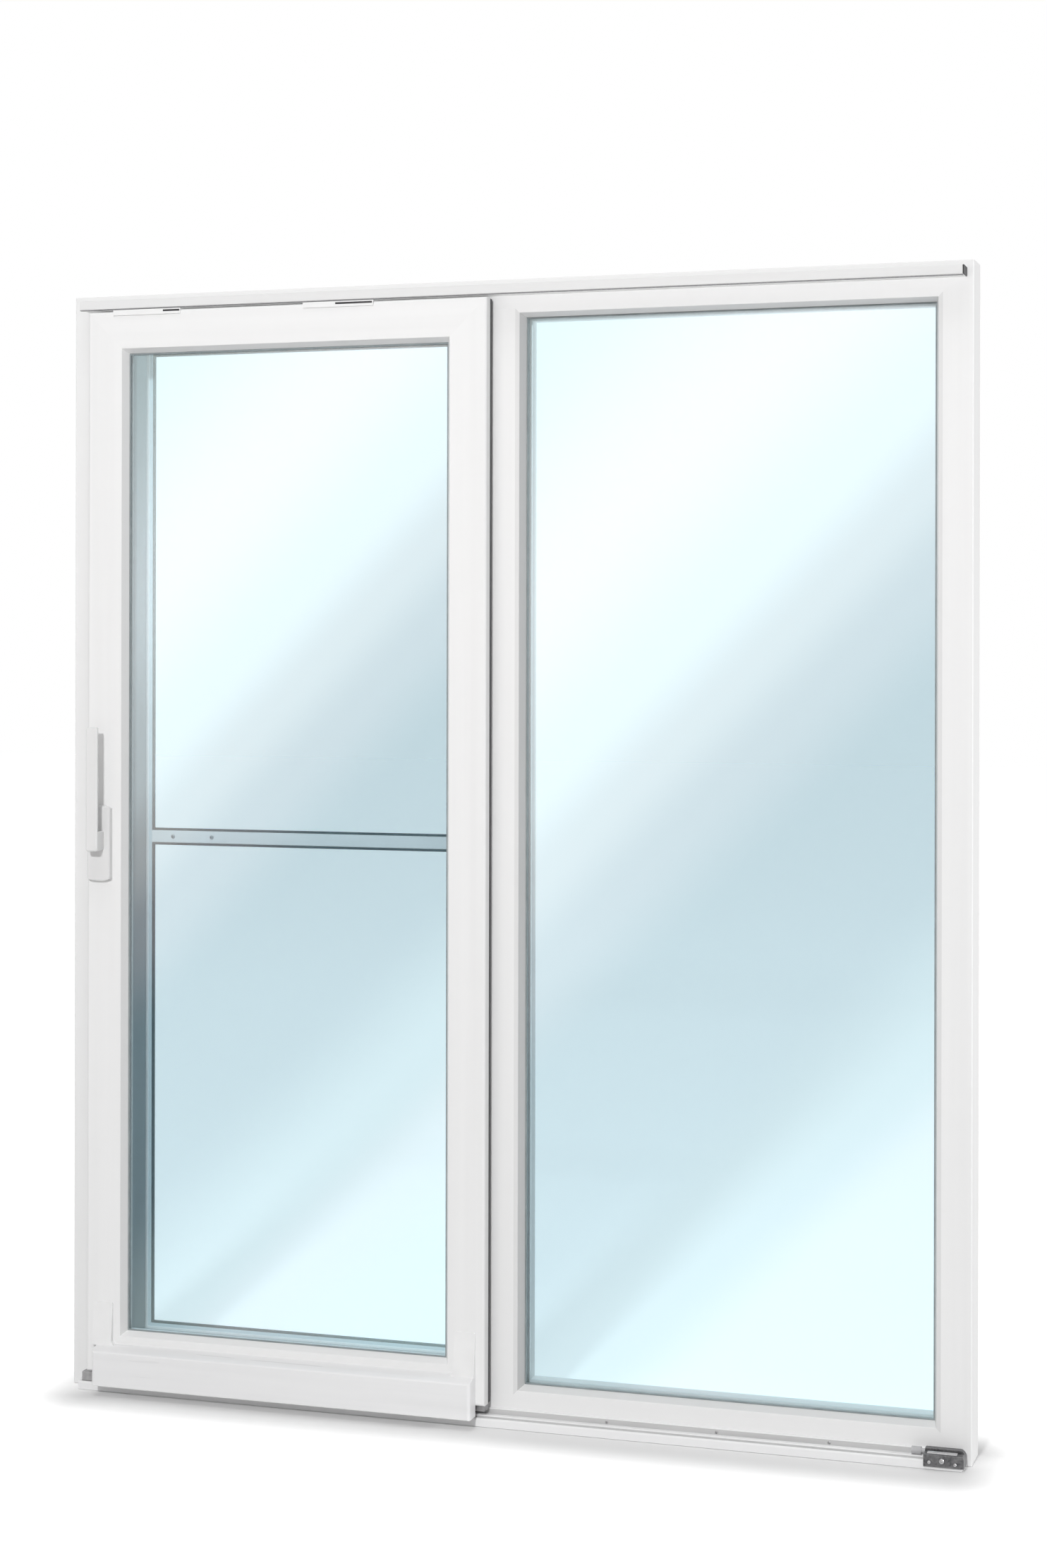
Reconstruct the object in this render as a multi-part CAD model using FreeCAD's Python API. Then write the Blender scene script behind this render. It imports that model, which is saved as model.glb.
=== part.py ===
"""Two-panel patio door: a fixed glazed light on the right and, on the left, a sash that
slides along a floor rail in front of it, with a lever handle and an outside insect screen.

Millimetres. +X runs to the right seen from the room, +Y points outdoors, +Z is up.
The origin is the middle of the sill's underside, halfway through the frame's depth.
"""
import FreeCAD
import Part
import math
import os

V = FreeCAD.Vector

# Outer frame
FRAME_WIDTH = 1732.0
FRAME_HEIGHT = 2100.0
FRAME_DEPTH = 76.0
FRAME_FACE = 54.0          # outer edge to the wall of the rabbet
LIP_WIDTH = 18.0           # outdoor lip that the fixed glass seats on
LIP_THICKNESS = 26.0
FRAME_EDGE_RADIUS = 2.0

# Mullion between the two lights
MULLION_CENTRE = -1.0
MULLION_FACE = 58.0

# Fixed light
FIXED_BEAD_FLAT = 8.0
FIXED_BEAD_SLOPE = 6.0
FIXED_BEAD_DEPTH = 28.0

# Land at the glass side of every glazing bead, and the round at its nose
BEAD_LAND = 3.0
BEAD_NOSE_RADIUS = 1.5

# Glass units: two panes with a spacer bar round the edge
PANE = 4.0
GLASS_EDGE_GAP = 4.0       # glass edge to rabbet wall
SPACER_WIDTH = 9.0

# Sliding sash
SASH_LEFT = 48.0           # frame's left edge to the sash
SASH_RIGHT_LAP = 16.0      # sash's lap over the mullion's face
SASH_TOP = 35.5            # frame's top edge to the sash
SASH_BOTTOM = 39.0         # sill's underside to the sash
SASH_DEPTH = 36.0
SASH_GAP = 6.0             # running gap between sash and frame
SASH_FACE = 62.0
SASH_LIP_WIDTH = 18.0
SASH_LIP_THICKNESS = 5.0
SASH_EDGE_RADIUS = 5.0
SASH_FLANGE_THICKNESS = 24.0
SASH_FLANGE_STEP = 14.0    # flange beyond the core of the profile
SASH_BEAD_FLAT = 9.0
SASH_BEAD_SLOPE = 8.0
SASH_BEAD_DEPTH = 20.0

# Floor rail that the carriages roll on
RAIL_DEPTH = 36.0
RAIL_FRONT_HEIGHT = 16.0
RAIL_BACK_HEIGHT = 28.0
RAIL_TREAD_HEIGHT = 20.0
RAIL_TREAD_WIDTH = 12.0
RAIL_TREAD_CENTRE = 21.0   # frame's face to the middle of the tread
RAIL_WALL = 5.0
RAIL_FLOOR = 10.0
RAIL_FOOT_RADIUS = 1.0
RAIL_LIP_RADIUS = 3.5
RAIL_EDGE_RADIUS = 1.5
RAIL_LEFT_INSET = 28.0
RAIL_RIGHT_INSET = 12.0

# Guide rail over the sash
GUIDE_DEPTH = 40.0
GUIDE_TOP = 13.0           # frame's top edge to the guide rail
GUIDE_HEIGHT = 17.0
GUIDE_WALL = 2.5
GUIDE_SLOT = 14.0
GUIDE_TOP_RADIUS = 2.0
GUIDE_FOOT_RADIUS = 1.0
GUIDE_LEFT_INSET = 29.0
GUIDE_RIGHT_INSET = 14.0

# Stays that run in the guide rail
STAY_LENGTH = 140.0
STAY_DEPTH = 28.0
STAY_THICKNESS = 2.5
STAY_APRON = 8.0           # stay over the sash's front face
STAY_EDGE_RADIUS = 1.0
STAY_CORNER_RADIUS = 12.0
STAY_LEFT_OFFSET = 54.0    # sash's left edge to the first stay
STAY_PITCH = 390.0
SHANK_RADIUS = 4.0
SHOE_LENGTH = 40.0
SHOE_WIDTH = 24.0
SHOE_HEIGHT = 8.0
SHOE_CLEARANCE = 2.0

# Carriages under the sash
CARRIAGE_LENGTH = 120.0
CARRIAGE_LEFT_INSET = 32.0 # sash's edges to the carriages
CARRIAGE_RIGHT_INSET = 3.0
CARRIAGE_WIDTH = 20.0
CARRIAGE_SKIRT = 12.0      # depth of the carriage below the sash
ROLLER_RADIUS = 9.0
ROLLER_WIDTH = 9.0
ROLLER_SIDE_GAP = 1.0
ROLLER_PITCH = 70.0
ROLLER_REST_GAP = 0.3
AXLE_RADIUS = 2.5
AXLE_GAP = 0.05

# Cover over the carriages, and the caps above its ends
COVER_HEIGHT = 66.0
COVER_DEPTH = 33.0
COVER_BOTTOM = 20.0
COVER_SLOPE = 9.0          # rise of the cover's top from its front to the sash
COVER_WALL = 2.5
COVER_EDGE_RADIUS = 4.0
COVER_FOOT_RADIUS = 2.0
COVER_END_RADIUS = 6.0
COVER_LEFT_INSET = 27.0
COVER_RIGHT_INSET = 17.0
CAP_WIDTH = 40.0
CAP_HEIGHT = 78.0
CAP_FOOT_THICKNESS = 10.0
CAP_TOP_THICKNESS = 2.5
CAP_INSET = 17.0           # sash's edge to the cap
CAP_FLARE = 6.0            # widening where the cap meets the cover
CAP_EDGE_RADIUS = 3.0

# Stops on the rail
STOP_LENGTH = 70.0
STOP_RIGHT_INSET = 8.0
STOP_APRON = 4.0           # stop in front of the rail
STOP_FOOT = 6.0            # floor to the stop's front face
STOP_SHELF = 27.0          # floor to the stop's shelf
STOP_SHELF_DEPTH = 22.0
STOP_TOP = 32.0
STOP_EDGE_RADIUS = 1.5
STOP_END_RADIUS = 12.0     # round over the right end
BUFFER_LENGTH = 23.0
BUFFER_RADIUS = 7.0
BUFFER_NECK_RADIUS = 4.0
BUFFER_HEAD_LENGTH = 17.0
CATCH_LENGTH = 24.0
CATCH_TOP = 33.5
CATCH_LEFT_INSET = 34.0

# Handle
HANDLE_INSET = 29.0        # sash's left edge to the handle's middle
HANDLE_HEIGHT = 1050.0     # sill's underside to the spindle
PLATE_WIDTH = 48.0
PLATE_HEIGHT = 144.0
PLATE_THICKNESS = 12.0
PLATE_CROWN = 5.0          # rise of the curved top and bottom ends
PLATE_EDGE_RADIUS = 4.0
LEVER_WIDTH = 24.0
LEVER_LENGTH = 235.0
LEVER_THICKNESS = 12.0
LEVER_TAIL = 14.0          # lever below the spindle
LEVER_UNDERCUT = 3.0       # side drawn in towards the lever's back
LEVER_CORNER_RADIUS = 5.0
LEVER_EDGE_RADIUS = 3.0
NECK_LENGTH = 17.0
NECK_HEIGHT = 38.0
NECK_TOP_RADIUS = 2.0
NECK_GAP = 0.3

# Insect screen on the outside
SCREEN_GAP = 8.0           # frame's outdoor face to the screen
SCREEN_THICKNESS = 16.0
SCREEN_LEFT_INSET = 69.0   # frame's left edge to the screen
SCREEN_RIGHT_LAP = 36.0    # screen's lap over the mullion, past its left lip
SCREEN_TOP_INSET = 50.0
SCREEN_BOTTOM_INSET = 52.0
SCREEN_FACE = 54.5
SCREEN_EDGE_RADIUS = 2.0
SCREEN_MID_RAIL_HEIGHT = 24.0
SCREEN_MID_RAIL_CENTRE = 1056.0
MESH_THICKNESS = 1.0
WHEEL_RADIUS = 12.0
WHEEL_WIDTH = 6.0
WHEEL_SIDE_GAP = 1.5
WHEEL_DROP = 8.0           # wheel below the screen's bottom rail
WHEEL_INSET = 90.0
WHEEL_AXLE_RADIUS = 2.0
TRACK_WALL = 3.0
TRACK_END_INSET = 20.0
TRACK_LIP = 12.0
TRACK_SIDE_GAP = 5.0
TRACK_RIB_WIDTH = 4.0
TRACK_RIB_RADIUS = 1.0
TRACK_FLOOR_DROP = 10.0    # tread of the outside track to its floor
TRACK_HEADROOM = 20.0
TRACK_FLANGE_HEIGHT = 34.0

# Planes and edges that several pieces share
ROOM_FACE = -FRAME_DEPTH / 2
OUTDOOR_FACE = FRAME_DEPTH / 2
LEFT_EDGE = -FRAME_WIDTH / 2
RIGHT_EDGE = FRAME_WIDTH / 2
MULLION_LEFT = MULLION_CENTRE - MULLION_FACE / 2
MULLION_RIGHT = MULLION_CENTRE + MULLION_FACE / 2
SASH_BACK = ROOM_FACE - SASH_GAP
SASH_FRONT = SASH_BACK - SASH_DEPTH
SASH_X0 = LEFT_EDGE + SASH_LEFT
SASH_X1 = MULLION_LEFT + SASH_RIGHT_LAP
SASH_Z0 = SASH_BOTTOM
SASH_Z1 = FRAME_HEIGHT - SASH_TOP
TREAD_Y = ROOM_FACE - RAIL_TREAD_CENTRE
GUIDE_Z1 = FRAME_HEIGHT - GUIDE_TOP
GUIDE_Z0 = GUIDE_Z1 - GUIDE_HEIGHT
COVER_FRONT = SASH_FRONT - COVER_DEPTH
COVER_TOP = COVER_BOTTOM + COVER_HEIGHT
COVER_SEAM = COVER_TOP + COVER_SLOPE
SCREEN_FRONT = OUTDOOR_FACE + SCREEN_GAP
SCREEN_BACK = SCREEN_FRONT + SCREEN_THICKNESS
SCREEN_MIDDLE = (SCREEN_FRONT + SCREEN_BACK) / 2
SCREEN_X0 = LEFT_EDGE + SCREEN_LEFT_INSET
SCREEN_X1 = MULLION_LEFT - LIP_WIDTH + SCREEN_RIGHT_LAP
SCREEN_Z0 = SCREEN_BOTTOM_INSET
SCREEN_Z1 = FRAME_HEIGHT - SCREEN_TOP_INSET


def box(x0, x1, y0, y1, z0, z1):
    """Block between two corners."""
    return Part.makeBox(x1 - x0, y1 - y0, z1 - z0, V(x0, y0, z0))


def outline(corners, place):
    """Closed wire through corners (a, b, radius), laid in space by place(a, b)."""
    points = [place(a, b) for a, b, _ in corners]
    starts = []
    middles = []
    ends = []
    for i, (_, _, radius) in enumerate(corners):
        corner = points[i]
        back = (points[i - 1] - corner).normalize()
        ahead = (points[(i + 1) % len(points)] - corner).normalize()
        half = back.getAngle(ahead) / 2
        reach = radius / math.tan(half)
        starts.append(corner + back * reach)
        ends.append(corner + ahead * reach)
        inward = (back + ahead).normalize() if radius else back
        middles.append(corner + inward * (radius / math.sin(half) - radius))
    edges = []
    for i, (_, _, radius) in enumerate(corners):
        if radius:
            edges.append(Part.Arc(starts[i], middles[i], ends[i]).toShape())
        following = starts[(i + 1) % len(starts)]
        if ends[i].distanceToPoint(following) > 1e-6:
            edges.append(Part.LineSegment(ends[i], following).toShape())
    return Part.Wire(edges)


def prism(corners, place, direction):
    """Outline swept straight along direction."""
    return Part.Face(outline(corners, place)).extrude(direction)


def mitred_ring(section, x0, x1, z0, z1, y0):
    """Four mitred members with one section (u inward, v outdoors from y0) round a rectangle."""
    width = x1 - x0
    height = z1 - z0
    runs = {
        "left": (lambda u, v: V(x0 + u, y0 + v, z0), V(0, 0, height)),
        "right": (lambda u, v: V(x1 - u, y0 + v, z0), V(0, 0, height)),
        "bottom": (lambda u, v: V(x0, y0 + v, z0 + u), V(width, 0, 0)),
        "top": (lambda u, v: V(x0, y0 + v, z1 - u), V(width, 0, 0)),
    }
    reach = max(u for u, _, _ in section)
    depth = max(v for _, v, _ in section)
    corners = {"a": (x0, z0), "b": (x1, z0), "c": (x1, z1), "d": (x0, z1)}
    inner = {"a": (x0 + reach, z0 + reach), "b": (x1 - reach, z0 + reach),
             "c": (x1 - reach, z1 - reach), "d": (x0 + reach, z1 - reach)}
    sides = {"left": "da", "right": "bc", "bottom": "ab", "top": "cd"}
    members = {}
    for side, (place, direction) in runs.items():
        first, last = sides[side]
        trapezium = [corners[first], corners[last], inner[last], inner[first]]
        mitre = prism([(x, z, 0) for x, z in trapezium], lambda x, z: V(x, y0, z), V(0, depth, 0))
        members[side] = prism(section, place, direction).common(mitre).Solids[0]
    return members


def frame_members():
    """Jambs, head and sill: an L section with the outdoor lip at the back."""
    lip_face = FRAME_DEPTH - LIP_THICKNESS
    section = [
        (0, 0, FRAME_EDGE_RADIUS),
        (FRAME_FACE, 0, 0),
        (FRAME_FACE, lip_face, 0),
        (FRAME_FACE + LIP_WIDTH, lip_face, FRAME_EDGE_RADIUS),
        (FRAME_FACE + LIP_WIDTH, FRAME_DEPTH, FRAME_EDGE_RADIUS),
        (0, FRAME_DEPTH, 0),
    ]
    return mitred_ring(section, LEFT_EDGE, RIGHT_EDGE, 0, FRAME_HEIGHT, ROOM_FACE)


def mullion(members):
    """T section between sill and head, notched over their lips."""
    lip_face = FRAME_DEPTH - LIP_THICKNESS
    half = MULLION_FACE / 2
    wide = half + LIP_WIDTH
    section = [
        (-half, 0, FRAME_EDGE_RADIUS),
        (half, 0, 0),
        (half, lip_face, 0),
        (wide, lip_face, FRAME_EDGE_RADIUS),
        (wide, FRAME_DEPTH, FRAME_EDGE_RADIUS),
        (-wide, FRAME_DEPTH, FRAME_EDGE_RADIUS),
        (-wide, lip_face, FRAME_EDGE_RADIUS),
        (-half, lip_face, 0),
    ]
    bar = prism(section, lambda u, v: V(MULLION_CENTRE + u, ROOM_FACE + v, FRAME_FACE),
                V(0, 0, FRAME_HEIGHT - 2 * FRAME_FACE))
    return bar.cut(members["bottom"]).cut(members["top"]).Solids[0]


def beads(flat, slope, depth, x0, x1, z0, z1, y0):
    """Glazing beads round an opening: flush at the front, then sloping in to the glass."""
    section = [
        (0, 0, 0),
        (flat, 0, BEAD_NOSE_RADIUS),
        (flat + slope, depth - BEAD_LAND, 0),
        (flat + slope, depth, 0),
        (0, depth, 0),
    ]
    return mitred_ring(section, x0, x1, z0, z1, y0)


def glass_unit(x0, x1, z0, z1, y0, y1):
    """Two panes, and the spacer bar that holds them apart round the edge."""
    a0 = x0 + GLASS_EDGE_GAP
    a1 = x1 - GLASS_EDGE_GAP
    b0 = z0 + GLASS_EDGE_GAP
    b1 = z1 - GLASS_EDGE_GAP
    room_pane = box(a0, a1, y0, y0 + PANE, b0, b1)
    outdoor_pane = box(a0, a1, y1 - PANE, y1, b0, b1)
    hole = box(a0 + SPACER_WIDTH, a1 - SPACER_WIDTH, y0, y1, b0 + SPACER_WIDTH, b1 - SPACER_WIDTH)
    spacer = box(a0, a1, y0 + PANE, y1 - PANE, b0, b1).cut(hole)
    return Part.Compound([room_pane, outdoor_pane]), spacer


def sash_members():
    """Stiles and rails of the sash: a flange that laps the frame, a core behind it, a glass rabbet."""
    section = [
        (0, 0, SASH_EDGE_RADIUS),
        (SASH_FACE, 0, 0),
        (SASH_FACE, SASH_DEPTH - SASH_LIP_THICKNESS, 0),
        (SASH_FACE + SASH_LIP_WIDTH, SASH_DEPTH - SASH_LIP_THICKNESS, FRAME_EDGE_RADIUS),
        (SASH_FACE + SASH_LIP_WIDTH, SASH_DEPTH, FRAME_EDGE_RADIUS),
        (SASH_FLANGE_STEP, SASH_DEPTH, FRAME_EDGE_RADIUS),
        (SASH_FLANGE_STEP, SASH_FLANGE_THICKNESS, 0),
        (0, SASH_FLANGE_THICKNESS, FRAME_EDGE_RADIUS),
    ]
    return mitred_ring(section, SASH_X0, SASH_X1, SASH_Z0, SASH_Z1, SASH_FRONT)


def floor_rail():
    """Extruded rail on the sill's face: front lip, tread for the rollers, back wall."""
    tread_near = RAIL_TREAD_CENTRE - RAIL_TREAD_WIDTH / 2
    tread_far = RAIL_TREAD_CENTRE + RAIL_TREAD_WIDTH / 2
    lip_back = RAIL_DEPTH - RAIL_WALL
    section = [
        (0, 0, 0),
        (RAIL_DEPTH, 0, RAIL_FOOT_RADIUS),
        (RAIL_DEPTH, RAIL_FRONT_HEIGHT, RAIL_LIP_RADIUS),
        (lip_back, RAIL_FRONT_HEIGHT, RAIL_EDGE_RADIUS),
        (lip_back, RAIL_FLOOR, 0),
        (tread_far, RAIL_FLOOR, 0),
        (tread_far, RAIL_TREAD_HEIGHT, RAIL_EDGE_RADIUS),
        (tread_near, RAIL_TREAD_HEIGHT, RAIL_EDGE_RADIUS),
        (tread_near, RAIL_FLOOR, 0),
        (RAIL_WALL, RAIL_FLOOR, 0),
        (RAIL_WALL, RAIL_BACK_HEIGHT, RAIL_EDGE_RADIUS),
        (0, RAIL_BACK_HEIGHT, 0),
    ]
    x0 = LEFT_EDGE + RAIL_LEFT_INSET
    length = RIGHT_EDGE - RAIL_RIGHT_INSET - x0
    return prism(section, lambda d, z: V(x0, ROOM_FACE - d, z), V(length, 0, 0))


def guide_rail():
    """Channel under the head, open along a slot in its underside."""
    wall = GUIDE_WALL
    slot_near = (GUIDE_DEPTH - GUIDE_SLOT) / 2
    slot_far = (GUIDE_DEPTH + GUIDE_SLOT) / 2
    section = [
        (0, GUIDE_Z0, 0),
        (slot_near, GUIDE_Z0, 0),
        (slot_near, GUIDE_Z0 + wall, 0),
        (wall, GUIDE_Z0 + wall, 0),
        (wall, GUIDE_Z1 - wall, 0),
        (GUIDE_DEPTH - wall, GUIDE_Z1 - wall, 0),
        (GUIDE_DEPTH - wall, GUIDE_Z0 + wall, 0),
        (slot_far, GUIDE_Z0 + wall, 0),
        (slot_far, GUIDE_Z0, 0),
        (GUIDE_DEPTH, GUIDE_Z0, GUIDE_FOOT_RADIUS),
        (GUIDE_DEPTH, GUIDE_Z1, GUIDE_TOP_RADIUS),
        (0, GUIDE_Z1, 0),
    ]
    x0 = LEFT_EDGE + GUIDE_LEFT_INSET
    length = RIGHT_EDGE - GUIDE_RIGHT_INSET - x0
    return prism(section, lambda d, z: V(x0, ROOM_FACE - d, z), V(length, 0, 0))


def stay(x0):
    """Angle over the sash's top front edge, with the shoe that runs in the guide rail."""
    middle_y = ROOM_FACE - GUIDE_DEPTH / 2
    middle_x = x0 + STAY_LENGTH / 2
    x1 = x0 + STAY_LENGTH
    front = SASH_FRONT - STAY_THICKNESS
    back = middle_y + STAY_DEPTH / 2
    foot = SASH_Z1 - STAY_APRON
    top = SASH_Z1 + STAY_THICKNESS
    angle = prism([(front, foot, 0), (SASH_FRONT, foot, 0), (SASH_FRONT, SASH_Z1, 0), (back, SASH_Z1, 0),
                   (back, top, 0), (front, top, STAY_EDGE_RADIUS)],
                  lambda y, z: V(x0, y, z), V(STAY_LENGTH, 0, 0))
    plan = prism([(x0, front, 0), (x1, front, 0), (x1, back, STAY_CORNER_RADIUS), (x0, back, STAY_CORNER_RADIUS)],
                 lambda x, y: V(x, y, foot), V(0, 0, top - foot))
    shoe_z = GUIDE_Z0 + GUIDE_WALL + SHOE_CLEARANCE
    shank = Part.makeCylinder(SHANK_RADIUS, shoe_z - SASH_Z1, V(middle_x, middle_y, SASH_Z1))
    shoe = box(middle_x - SHOE_LENGTH / 2, middle_x + SHOE_LENGTH / 2,
               middle_y - SHOE_WIDTH / 2, middle_y + SHOE_WIDTH / 2, shoe_z, shoe_z + SHOE_HEIGHT)
    return angle.common(plan).fuse(shank).fuse(shoe).removeSplitter().Solids[0]


def carriage(x0):
    """Housing under the sash with pockets for two rollers on the rail's tread."""
    x1 = x0 + CARRIAGE_LENGTH
    z1 = SASH_Z0
    z0 = z1 - CARRIAGE_SKIRT
    y0 = TREAD_Y - CARRIAGE_WIDTH / 2
    housing = box(x0, x1, y0, y0 + CARRIAGE_WIDTH, z0, z1)
    axle_z = RAIL_TREAD_HEIGHT + ROLLER_REST_GAP + ROLLER_RADIUS
    pocket_y = ROLLER_WIDTH / 2 + ROLLER_SIDE_GAP
    pocket_x = ROLLER_RADIUS + ROLLER_SIDE_GAP
    rollers = []
    for side in (-1, 1):
        x = (x0 + x1 + side * ROLLER_PITCH) / 2
        pocket = box(x - pocket_x, x + pocket_x, TREAD_Y - pocket_y, TREAD_Y + pocket_y, z0, z1)
        bore = Part.makeCylinder(AXLE_RADIUS + AXLE_GAP, CARRIAGE_WIDTH, V(x, y0, axle_z), V(0, 1, 0))
        housing = housing.cut(pocket).cut(bore)
        wheel = Part.makeCylinder(ROLLER_RADIUS, ROLLER_WIDTH, V(x, TREAD_Y - ROLLER_WIDTH / 2, axle_z),
                                  V(0, 1, 0))
        axle = Part.makeCylinder(AXLE_RADIUS, CARRIAGE_WIDTH, V(x, y0, axle_z), V(0, 1, 0))
        rollers.append(wheel.fuse(axle).Solids[0])
    return housing.Solids[0], Part.Compound(rollers)


def bottom_cover():
    """Hollow cover in front of the carriages, with a sloping top, open to the sash."""
    x0 = SASH_X0 + COVER_LEFT_INSET
    x1 = SASH_X1 - COVER_RIGHT_INSET
    wall = COVER_WALL
    shell = prism(
        [(COVER_FRONT, COVER_BOTTOM, COVER_FOOT_RADIUS), (SASH_FRONT, COVER_BOTTOM, 0),
         (SASH_FRONT, COVER_SEAM, 0), (COVER_FRONT, COVER_TOP, COVER_EDGE_RADIUS)],
        lambda y, z: V(x0, y, z), V(x1 - x0, 0, 0))
    plan = prism(
        [(x0, COVER_FRONT, COVER_END_RADIUS), (x1, COVER_FRONT, COVER_END_RADIUS),
         (x1, SASH_FRONT, 0), (x0, SASH_FRONT, 0)],
        lambda x, y: V(x, y, COVER_BOTTOM), V(0, 0, COVER_SEAM - COVER_BOTTOM))
    hollow = prism(
        [(COVER_FRONT + wall, COVER_BOTTOM + wall, 0), (SASH_FRONT, COVER_BOTTOM + wall, 0),
         (SASH_FRONT, COVER_SEAM - wall, 0), (COVER_FRONT + wall, COVER_TOP - wall, 0)],
        lambda y, z: V(x0 + wall, y, z), V(x1 - x0 - 2 * wall, 0, 0))
    return shell.common(plan).cut(hollow).Solids[0]


def cover_cap(edge_x, inward):
    """Upright cap on the stile over one end of the cover, thick at its foot and thin at its top."""
    outer = edge_x + inward * CAP_INSET
    inner = outer + inward * CAP_WIDTH
    flare = inner + inward * CAP_FLARE
    seam = COVER_SEAM
    top = seam + CAP_HEIGHT
    front = SASH_FRONT - CAP_FOOT_THICKNESS
    foot = seam - COVER_SLOPE * CAP_FOOT_THICKNESS / COVER_DEPTH
    blade = prism(
        [(outer, foot, 0), (flare, foot, 0), (inner, seam + CAP_FLARE, CAP_FLARE),
         (inner, top, CAP_EDGE_RADIUS), (outer, top, CAP_EDGE_RADIUS)],
        lambda x, z: V(x, front, z), V(0, CAP_FOOT_THICKNESS, 0))
    left = min(outer, flare)
    wedge = prism(
        [(SASH_FRONT, seam, 0), (SASH_FRONT, top, 0),
         (SASH_FRONT - CAP_TOP_THICKNESS, top, 0), (front, foot, 0)],
        lambda y, z: V(left, y, z), V(abs(flare - outer), 0, 0))
    return blade.common(wedge).Solids[0]


def end_stop():
    """Metal saddle across the rail's right end, and the buffer on its left face."""
    x1 = RIGHT_EDGE - STOP_RIGHT_INSET
    x0 = x1 - STOP_LENGTH
    front = RAIL_DEPTH + STOP_APRON
    step = front - STOP_SHELF_DEPTH
    soft = STOP_EDGE_RADIUS
    section = [(front, STOP_FOOT, 0), (front, STOP_SHELF, soft), (step, STOP_SHELF, 0),
               (step, STOP_TOP, soft), (RAIL_WALL, STOP_TOP, soft), (RAIL_WALL, STOP_FOOT, 0)]
    saddle = prism(section, lambda d, z: V(x0, ROOM_FACE - d, z), V(STOP_LENGTH, 0, 0))
    side = prism([(x0, STOP_FOOT, 0), (x1, STOP_FOOT, 0), (x1, STOP_TOP, STOP_END_RADIUS), (x0, STOP_TOP, 0)],
                 lambda x, z: V(x, ROOM_FACE - front, z), V(0, front, 0))
    saddle = saddle.common(side)
    middle = V(x0 - BUFFER_LENGTH, TREAD_Y, STOP_SHELF)
    head = Part.makeCylinder(BUFFER_RADIUS, BUFFER_HEAD_LENGTH, middle, V(1, 0, 0))
    neck = Part.makeCylinder(BUFFER_NECK_RADIUS, BUFFER_LENGTH, middle, V(1, 0, 0))
    return saddle.cut(floor_rail()).Solids[0], head.fuse(neck).Solids[0]


def closing_catch():
    """Small metal block across the rail's left end, under the closed sash's corner."""
    x0 = LEFT_EDGE + CATCH_LEFT_INSET
    soft = STOP_EDGE_RADIUS
    section = [(RAIL_DEPTH - RAIL_WALL, RAIL_FRONT_HEIGHT, 0), (RAIL_DEPTH - RAIL_WALL, CATCH_TOP, soft),
               (RAIL_WALL, CATCH_TOP, soft), (RAIL_WALL, RAIL_FRONT_HEIGHT, 0)]
    block = prism(section, lambda d, z: V(x0, ROOM_FACE - d, z), V(CATCH_LENGTH, 0, 0))
    return block.cut(floor_rail()).Solids[0]


def soften_front(solid, y_front, radius):
    """Fillet round the edges of the face that looks into the room."""
    front = [e for e in solid.Edges if all(abs(v.Y - y_front) < 1e-6 for v in e.Vertexes)]
    return solid.makeFillet(radius, front)


def handle_plate():
    """Back plate on the left stile, with curved top and bottom ends and rounded front edges."""
    front = SASH_FRONT - PLATE_THICKNESS
    x = SASH_X0 + HANDLE_INSET
    x0 = x - PLATE_WIDTH / 2
    x1 = x + PLATE_WIDTH / 2
    low = HANDLE_HEIGHT - PLATE_HEIGHT / 2
    high = HANDLE_HEIGHT + PLATE_HEIGHT / 2
    low_end = low + PLATE_CROWN
    high_end = high - PLATE_CROWN
    edge = Part.Wire([
        Part.LineSegment(V(x0, front, high_end), V(x0, front, low_end)).toShape(),
        Part.Arc(V(x0, front, low_end), V(x, front, low), V(x1, front, low_end)).toShape(),
        Part.LineSegment(V(x1, front, low_end), V(x1, front, high_end)).toShape(),
        Part.Arc(V(x1, front, high_end), V(x, front, high), V(x0, front, high_end)).toShape(),
    ])
    slab = Part.Face(edge).extrude(V(0, PLATE_THICKNESS, 0))
    soft = PLATE_EDGE_RADIUS
    across = prism([(x0, SASH_FRONT, 0), (x0, front, soft), (x1, front, soft), (x1, SASH_FRONT, 0)],
                   lambda a, b: V(a, b, low), V(0, 0, PLATE_HEIGHT))
    upright = prism([(low, SASH_FRONT, 0), (low, front, soft), (high, front, soft), (high, SASH_FRONT, 0)],
                    lambda a, b: V(x0, b, a), V(PLATE_WIDTH, 0, 0))
    return slab.common(across).common(upright).Solids[0]


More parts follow.
